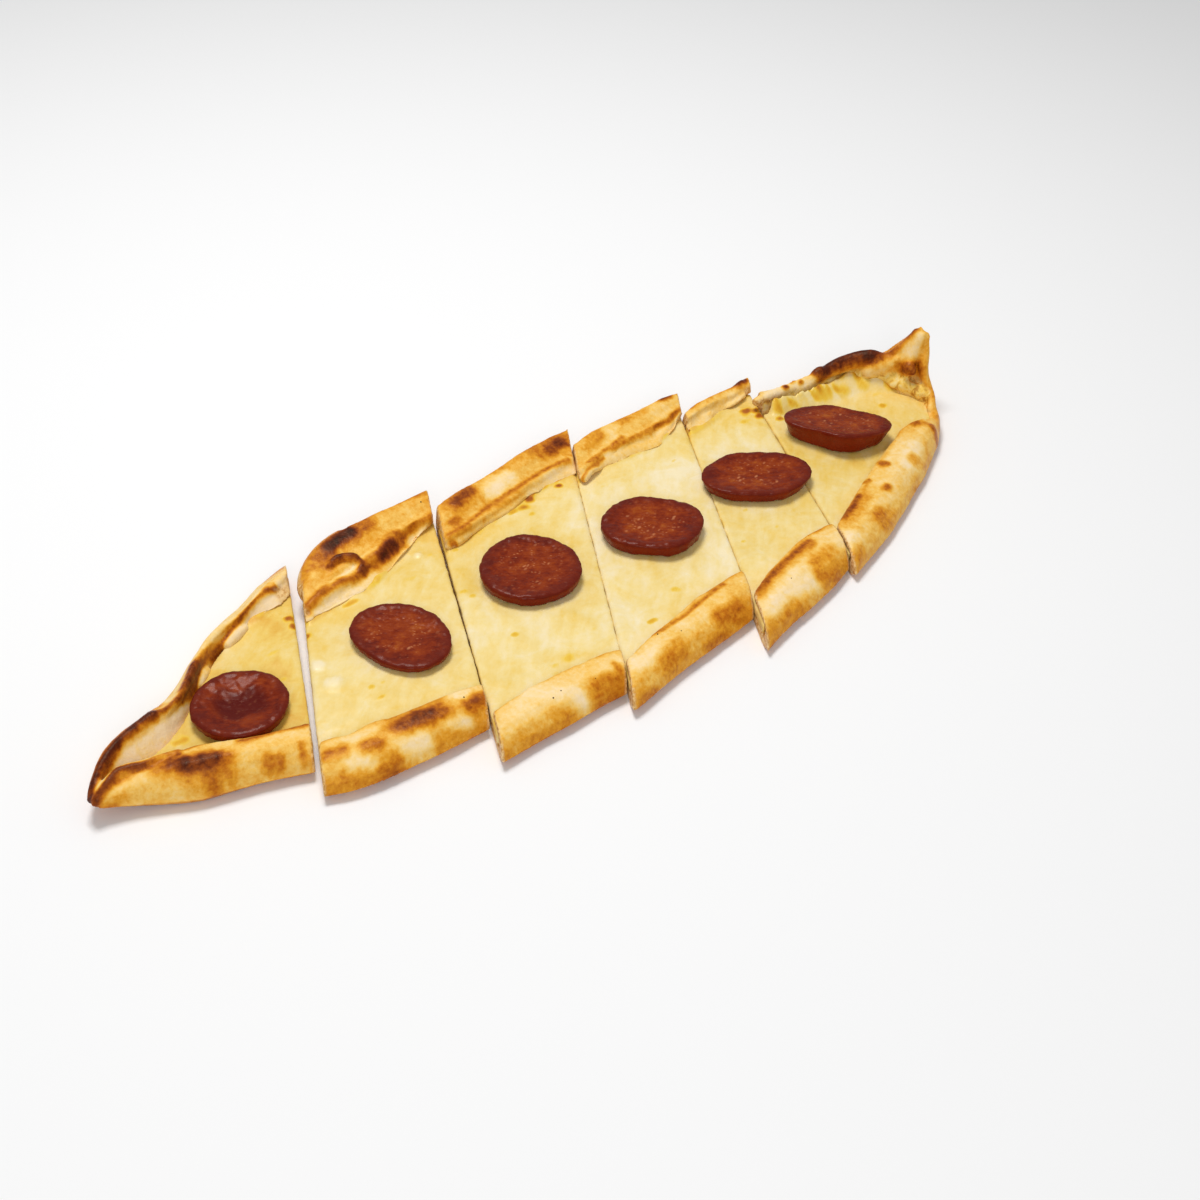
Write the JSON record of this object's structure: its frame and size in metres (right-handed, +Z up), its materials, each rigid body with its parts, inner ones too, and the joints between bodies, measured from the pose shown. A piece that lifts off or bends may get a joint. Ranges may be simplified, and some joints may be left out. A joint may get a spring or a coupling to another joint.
{
  "type": "turkish pide",
  "caption": "Boat-shaped baked flatbread with folded rims, melted cheese and sucuk, cut across and kept in its whole shape.",
  "frame": {"origin": "on the flat underside of the third slice, near the middle of the pide, at the height it rests on", "axes": "+X along the pide towards its raised tip, +Y towards its far long side, +Z up"},
  "size_m": [0.4695, 0.176, 0.0434],
  "materials": {
    "crust": "baked dough, pale cream to golden with dark brown blisters",
    "cheese": "melted cheese, smooth and a little oily",
    "sucuk": "fried cured sausage, dark red-brown and oily"
  },
  "bodies": {
    "root": {"crust_1": "crust", "crust_2": "crust", "crust_3": "crust", "crust_4": "crust", "crust_5": "crust", "crust_6": "crust", "cheese_1": "cheese", "cheese_2": "cheese", "cheese_3": "cheese", "cheese_4": "cheese", "cheese_5": "cheese", "cheese_6": "cheese", "sucuk_1": "sucuk", "sucuk_2": "sucuk", "sucuk_3": "sucuk", "sucuk_4": "sucuk", "sucuk_5": "sucuk", "sucuk_6": "sucuk"}
  },
  "joints": []
}
